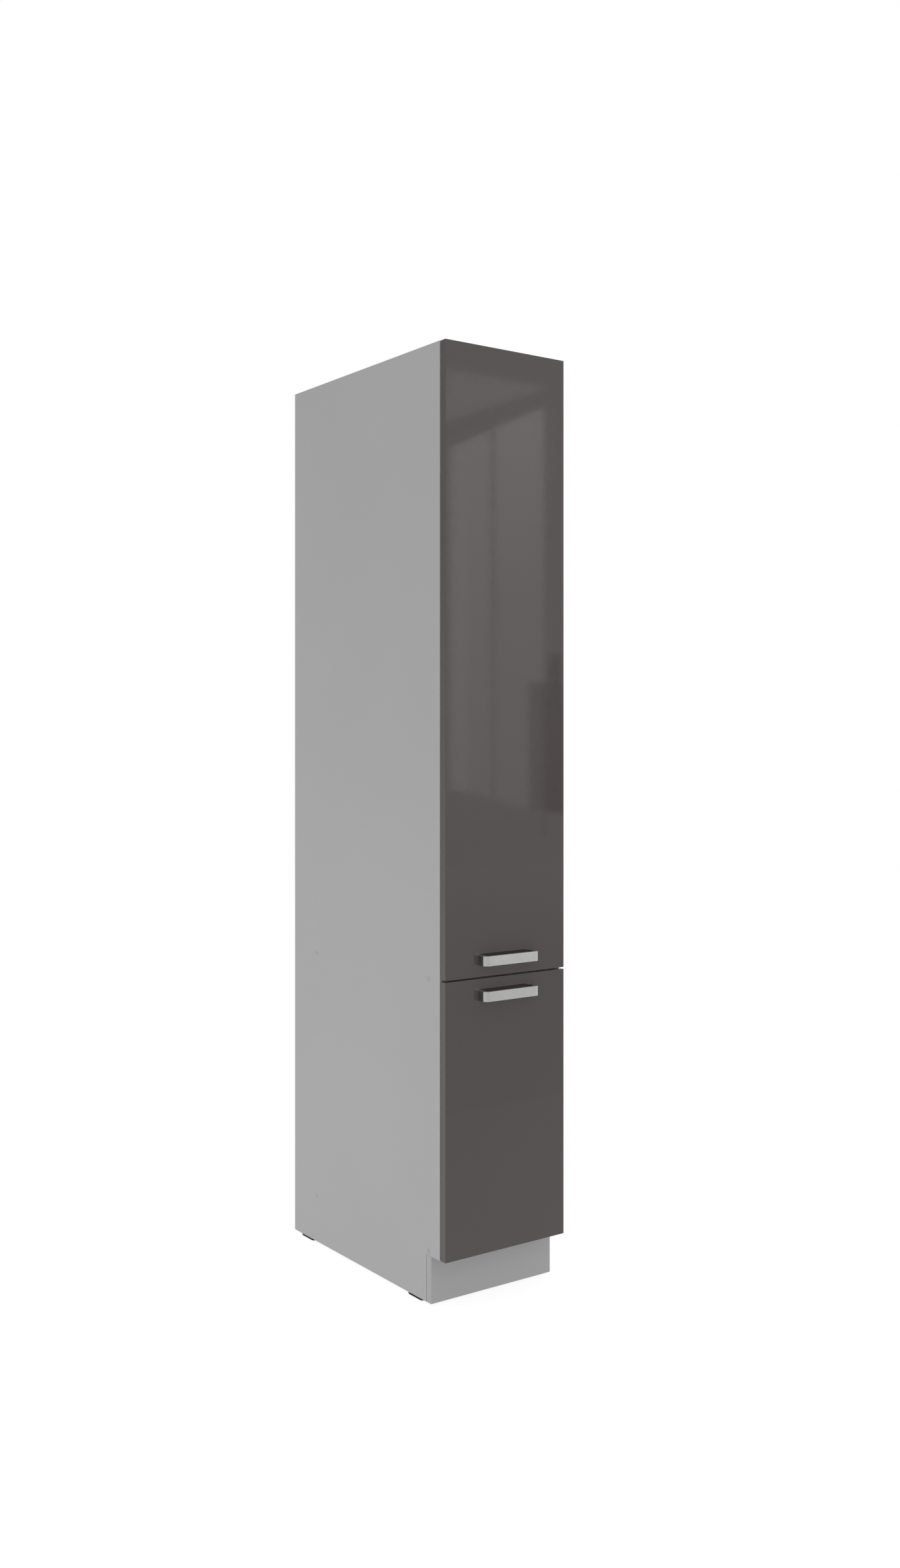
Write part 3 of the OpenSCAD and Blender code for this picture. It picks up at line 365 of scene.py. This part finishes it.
EDGE_WIDTHS = {"plinth_blocks": 0.0005, "glides": 0.0004, "screw_caps": 0.0002, "cam_fittings": 0.0003,
               "dowels": 0.0005, "wall_brackets": 0.0003, "door_bumpers": 0.0002, "upper_runner_base": 0.0003,
               "lower_runner_base": 0.0003, "upper_ceiling_rail": 0.0003, "lower_ceiling_rail": 0.0003,
               "upper_carriage": 0.0003, "lower_carriage": 0.0003, "upper_front_upright": 0.0006,
               "upper_rear_upright": 0.0006, "lower_front_upright": 0.0006, "lower_rear_upright": 0.0006,
               "upper_top_bar": 0.0005, "lower_top_bar": 0.0005, "upper_front_brackets": 0.0004,
               "lower_front_brackets": 0.0004, "upper_hook_pins": 0.0003, "lower_hook_pins": 0.0003,
               "upper_guide_roller": 0.0004, "lower_guide_roller": 0.0004}
for node, width in EDGE_WIDTHS.items():
    dress(node, width)

THIN_EDGE = 0.00015
THIN_PIECES = ("glide_nails", "connecting_screws", "back_nails", "upper_outer_runners", "lower_outer_runners",
               "upper_inner_runners", "lower_inner_runners", "upper_middle_runners", "lower_middle_runners",
               "upper_outer_ball_cages", "upper_inner_ball_cages", "lower_outer_ball_cages",
               "lower_inner_ball_cages")
for node in THIN_PIECES:
    dress(node, THIN_EDGE, segments=1)

# ---------- trays ----------

RIM_TOP = 26 * MM
JUST_ABOVE = RIM_TOP + 0.01 * MM
TRAY_EDGE = 0.0003


def tray_mesh(node):
    """A tray that stands on z = 0: its sheet part is coated, its rails, posts and hook plates are chrome."""
    bm = clean_copy(node)
    bmesh.ops.translate(bm, verts=bm.verts, vec=(0, 0, -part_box(node)[0].z))
    bmesh.ops.bisect_plane(bm, geom=bm.verts[:] + bm.edges[:] + bm.faces[:], dist=SAME_PLACE,
                           plane_co=(0, 0, RIM_TOP), plane_no=(0, 0, 1))
    for face in bm.faces:
        face.material_index = int(face.calc_center_median().z < JUST_ABOVE)
    return mesh_from(bm, "tray", CHROME, FRAME_COAT)


tray = tray_mesh("upper_tray_1")
for node in sorted(n for n in frame["nodes"] if "_tray_" in n):
    piece = bevelled(put(node, tray), TRAY_EDGE)
    piece.location.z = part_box(node)[0].z

# ---------- screws with a cross recess ----------

SIDES = 32
ARC_STEP = 18  # degrees
ROUND_OVER = 0.55  # share of the head's height
TIP = 0.25  # share of the shank's radius
RECESS_REACH, RECESS_HALF_WIDTH = 0.27, 0.055  # shares of the head's width
RECESS_TAPER = 0.7  # share of the recess's width that is left at its bottom
RECESS_SHARE, RECESS_DEEPEST = 0.6, 1.2 * MM  # share of the head's height, and never deeper than the second
HEAD_FROM = 0.95  # a point is on the head's widest part beyond this share of the head's radius
SAME_LEVEL = 1e-5
SHARP_ANGLE = math.radians(35)


def islands(node):
    """The corner points of each separate solid in a CAD node."""
    bm = merged(node)
    left, found = set(bm.verts), []
    while left:
        todo, group = [left.pop()], []
        while todo:
            vert = todo.pop()
            group.append(vert.co.copy())
            for edge in vert.link_edges:
                other = edge.other_vert(vert)
                if other in left:
                    left.remove(other)
                    todo.append(other)
        found.append(group)
    bm.free()
    return found


def screw_proto(shank_r, length, head_r, head_h):
    """A screw that points along +Z from z = 0, the head's top: a pan head with a cross recess, and a shank."""
    bm = bmesh.new()
    edge = head_h * ROUND_OVER
    arc = [math.radians(a) for a in range(0, 91, ARC_STEP)]
    profile = [(head_r - edge + edge * math.sin(a), edge - edge * math.cos(a)) for a in arc]
    profile += [(head_r, head_h), (shank_r, head_h), (shank_r, length - shank_r), (shank_r * TIP, length)]
    turns = [2 * math.pi * i / SIDES for i in range(SIDES)]
    rings = [[bm.verts.new((radius * math.cos(t), radius * math.sin(t), z)) for t in turns]
             for radius, z in profile]
    for a, b in zip(rings, rings[1:]):
        for i in range(SIDES):
            j = (i + 1) % SIDES
            bm.faces.new((a[i], b[i], b[j], a[j]))
    bm.faces.new(rings[-1])
    arm, half = 2 * head_r * RECESS_REACH, 2 * head_r * RECESS_HALF_WIDTH
    deep = min(head_h * RECESS_SHARE, RECESS_DEEPEST)
    cross = [(arm, -half), (arm, half), (half, half), (half, arm), (-half, arm), (-half, half), (-arm, half),
             (-arm, -half), (-half, -half), (-half, -arm), (half, -arm), (half, -half)]
    corners = len(cross)
    top = [bm.verts.new((x, y, 0)) for x, y in cross]
    low = [bm.verts.new((x * RECESS_TAPER, y * RECESS_TAPER, deep)) for x, y in cross]
    outline = [bm.edges.new((top[i], top[(i + 1) % corners])) for i in range(corners)]
    rim = [bm.edges.get((rings[0][i], rings[0][(i + 1) % SIDES])) for i in range(SIDES)]
    bmesh.ops.triangle_fill(bm, edges=outline + rim, use_beauty=True)
    for i in range(corners):
        j = (i + 1) % corners
        bm.faces.new((top[i], low[i], low[j], top[j]))
    bm.faces.new(low)
    bmesh.ops.recalc_face_normals(bm, faces=bm.faces)
    return bm


def screws(node):
    """Every screw of a CAD node, remade with a rounded head and a cross recess in the same place."""
    whole = bmesh.new()
    for group in islands(node):
        lo = Vector([min(p[k] for p in group) for k in range(3)])
        hi = Vector([max(p[k] for p in group) for k in range(3)])
        size, mid = hi - lo, (lo + hi) / 2
        axis = max(range(3), key=lambda k: size[k])
        u, v = (k for k in range(3) if k != axis)

        def off_axis(p):
            return math.hypot(p[u] - mid[u], p[v] - mid[v])

        head_r = size[u] / 2
        levels = [p[axis] for p in group if off_axis(p) > head_r * HEAD_FROM]
        head_low = abs(min(levels) - lo[axis]) < SAME_LEVEL
        head_end, tip_end = (lo, hi) if head_low else (hi, lo)
        shank_r = max(off_axis(p) for p in group if abs(p[axis] - tip_end[axis]) < SAME_LEVEL)
        proto = screw_proto(shank_r, size[axis], head_r, max(levels) - min(levels))
        direction = Vector([0, 0, 0])
        direction[axis] = 1 if head_low else -1
        start = mid.copy()
        start[axis] = head_end[axis]
        turn = Vector((0, 0, 1)).rotation_difference(direction).to_matrix().to_4x4()
        proto.transform(Matrix.Translation(start) @ turn)
        part = bpy.data.meshes.new("screw")
        proto.to_mesh(part)
        proto.free()
        whole.from_mesh(part)
        bpy.data.meshes.remove(part)
    mesh = mesh_from(whole, node + "_piece", ZINC)
    mesh.set_sharp_from_angle(angle=SHARP_ANGLE)
    put(node, mesh)


for node in ("wood_screws", "upper_front_screws", "lower_front_screws", "upper_handle_screws",
             "lower_handle_screws"):
    screws(node)

# ---------- floor ----------

FLOOR_RADIUS = 10
FLOOR_STEP = 6  # degrees
FADE_FROM, FADE_TO = 2.5, 9.0  # metres from the middle


def flat(name, corners, mat):
    mesh = bpy.data.meshes.new(name)
    mesh.from_pydata(corners, [], [tuple(range(len(corners)))])
    mesh.materials.append(mat)
    thing = bpy.data.objects.new(name, mesh)
    scene.collection.objects.link(thing)
    return thing


# the floor glows like a light table, so that the part throws no shadow on it, as in the photo
floor_mat = material("pale_floor", Roughness=0.75, Emission_Color=(1, 1, 1, 1), Emission_Strength=0.85)
on_floor = place(floor_mat)
floor_tone = blend_colours(floor_mat, noise(floor_mat, on_floor, scale=1.3, detail=3.0), (0.195, 0.195, 0.193),
                           (0.205, 0.205, 0.203))
shade(floor_mat, "Base Color", floor_tone)
away = add(floor_mat, "VectorMath", {0: on_floor}, operation="LENGTH").outputs["Value"]
shade(floor_mat, "Alpha", spread(floor_mat, away, 1.0, 0.0, FADE_FROM, FADE_TO))
bearings = [math.radians(a) for a in range(0, 360, FLOOR_STEP)]
flat("floor", [(FLOOR_RADIUS * math.cos(a), FLOOR_RADIUS * math.sin(a), 0) for a in bearings], floor_mat)

# ---------- what the gloss fronts and the handles reflect ----------

# The place of a thing in the reflection is given by where the photo shows it on the fronts: x and z in
# millimetres, on the fronts' plane. Its reach says how many times further than that plane it stands.

EYE = Vector((-1.799, -2.604, 1.125))  # the place of the camera that was fitted to the photo
Y_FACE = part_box("upper_front")[0].y
LEFT, RIGHT = -137, 97  # the outer edges of the softboxes
LEFT_REACH, RIGHT_REACH = 3.2, 2.69
BEHIND = 1.15  # how many times further than the softboxes the dim card behind them stands
WIDE = 190  # past both edges of the fronts


def card(name, radiance, points):
    """A softbox or a flag that only reflections show. Its radiance fades evenly from the first number at its
    top to the second at its bottom."""
    mat = bpy.data.materials.new(name)
    mat.use_nodes = True
    mat.node_tree.nodes.clear()
    height = add(mat, "SeparateXYZ", {0: place(mat)}).outputs["Z"]
    zs = [p.z for p in points]
    glow = add(mat, "Emission", {"Strength": spread(mat, height, radiance[1], radiance[0], min(zs), max(zs))})
    out = add(mat, "OutputMaterial")
    mat.node_tree.links.new(glow.outputs[0], out.inputs["Surface"])
    thing = flat(name, points, mat)
    thing.visible_camera = False
    thing.visible_shadow = False
    thing.visible_diffuse = False


def softbox_reach(x):
    """The reach of the softboxes' upright plane. It is a line in plan, so 1 / reach runs evenly across x."""
    k = (x - LEFT) / (RIGHT - LEFT)
    return 1 / ((1 - k) / LEFT_REACH + k / RIGHT_REACH)


def seen_at(x, z, reach):
    """The point of that reach that the fronts show at x and z."""
    mirror_eye = Vector((EYE.x, 2 * Y_FACE - EYE.y, EYE.z))
    return mirror_eye + (Vector((x * MM, Y_FACE, z * MM)) - mirror_eye) * reach


def pane(name, radiance, sides, tops, lows, behind=1):
    """A card on the softboxes' plane, or that many times further: the x of its sides, and the z of its top and
    bottom at each side."""
    outline = zip((sides[0], sides[1], sides[1], sides[0]), (tops[0], tops[1], lows[1], lows[0]))
    card(name, radiance, [seen_at(x, z, behind * softbox_reach(x)) for x, z in outline])


def upright(name, radiance, start, end, top, low):
    """An upright card between two places in plan, in metres."""
    card(name, radiance, [Vector((*start, top)), Vector((*end, top)), Vector((*end, low)), Vector((*start, low))])


pane("softbox_a", (2.10, 2.00), (LEFT, -97), (1676, 1694), (1400, 1404))
pane("softbox_b", (2.00, 1.72), (LEFT, -97), (1400, 1404), (1015, 1008))
pane("softbox_c", (2.10, 1.80), (-97, -39), (1694, 1722), (1400, 1410))
pane("softbox_d", (1.80, 1.45), (-97, -39), (1400, 1410), (1008, 995))
pane("softbox_e", (2.15, 1.66), (-28, RIGHT), (1728, 1783), (1400, 1412))
pane("softbox_f", (1.66, 1.40), (-28, RIGHT), (1400, 1412), (992, 960))
pane("softbox_g", (1.66, 1.60), (-150, 95), (1826, 1826), (1723, 1820))
pane("softbox_h", (1.14, 1.05), (-WIDE, WIDE), (1930, 1930), (950, 950), BEHIND)
pane("flag_a", (0.60, 0.48), (57, 165), (1227, 1220), (968, 955))
pane("flag_b", (0.60, 0.60), (108, 143), (1285, 1280), (1224, 1222))
pane("flag_c", (0.55, 0.55), (94, 101), (966, 965), (912, 911))

# the lower half of the fronts shows three flags that lean: the z and the reach of their tops and bottoms
for name, radiance, (top, top_reach), (low, low_reach) in (("flag_e", (1.05, 0.83), (860, 2.1), (640, 1.6)),
                                                           ("flag_f", (0.83, 0.85), (640, 1.6), (385, 1.25)),
                                                           ("flag_g", (0.92, 0.96), (385, 1.25), (60, 1.045))):
    card(name, radiance, [seen_at(-WIDE, top, top_reach), seen_at(WIDE, top, top_reach),
                          seen_at(WIDE, low, low_reach), seen_at(-WIDE, low, low_reach)])

# the left edge of the fronts shows these two, and the rounded ends of the handles the other three
upright("flag_d", (0.62, 0.62), (-3.0, 1.5), (-3.0, 6.0), 4.5, 2.2)
upright("flag_h", (0.62, 1.0), (-3.0, 1.5), (-3.0, 6.0), 2.2, 0.2)
for name, glow, start, end in (("flag_i", 0.80, (-2.3, -2.3), (1.1, -2.3)),
                               ("flag_j", 0.86, (-2.3, 0.2), (-2.3, -2.3)),
                               ("flag_k", 0.84, (2.3, -2.0), (2.3, 2.5))):
    upright(name, (glow, glow), start, end, 1.2, 0.02)

# ---------- light and camera ----------

world = bpy.data.worlds.new("studio")
world.use_nodes = True
world.node_tree.nodes["Background"].inputs["Color"].default_value = (1, 1, 1, 1)
world.node_tree.nodes["Background"].inputs["Strength"].default_value = 1.0
scene.world = world

LAMP_PLACE, LAMP_AIM = Vector((-1.6, 0.05, 0.3)), Vector((0, 0, 0.3))
lamp_data = bpy.data.lights.new("soft_left", "AREA")
lamp_data.shape = "RECTANGLE"
lamp_data.size, lamp_data.size_y = 1.3, 0.6
lamp_data.energy = 3.2
lamp = bpy.data.objects.new("soft_left", lamp_data)
lamp.location = LAMP_PLACE
lamp.rotation_euler = (LAMP_AIM - LAMP_PLACE).to_track_quat("-Z", "Y").to_euler()
lamp.visible_camera = False
lamp.visible_glossy = False
scene.collection.objects.link(lamp)

LEVEL, HEADING = math.radians(90), math.radians(-35.56)
camera = bpy.data.cameras.new("camera")
camera.lens = 33.88
camera.sensor_width = 36
camera.shift_y = -0.0332
eye = bpy.data.objects.new("camera", camera)
eye.location = EYE
eye.rotation_euler = (LEVEL, 0, HEADING)
scene.collection.objects.link(eye)
scene.camera = eye
scene.view_settings.view_transform = "Standard"
scene.view_settings.look = "None"

bpy.context.view_layer.update()
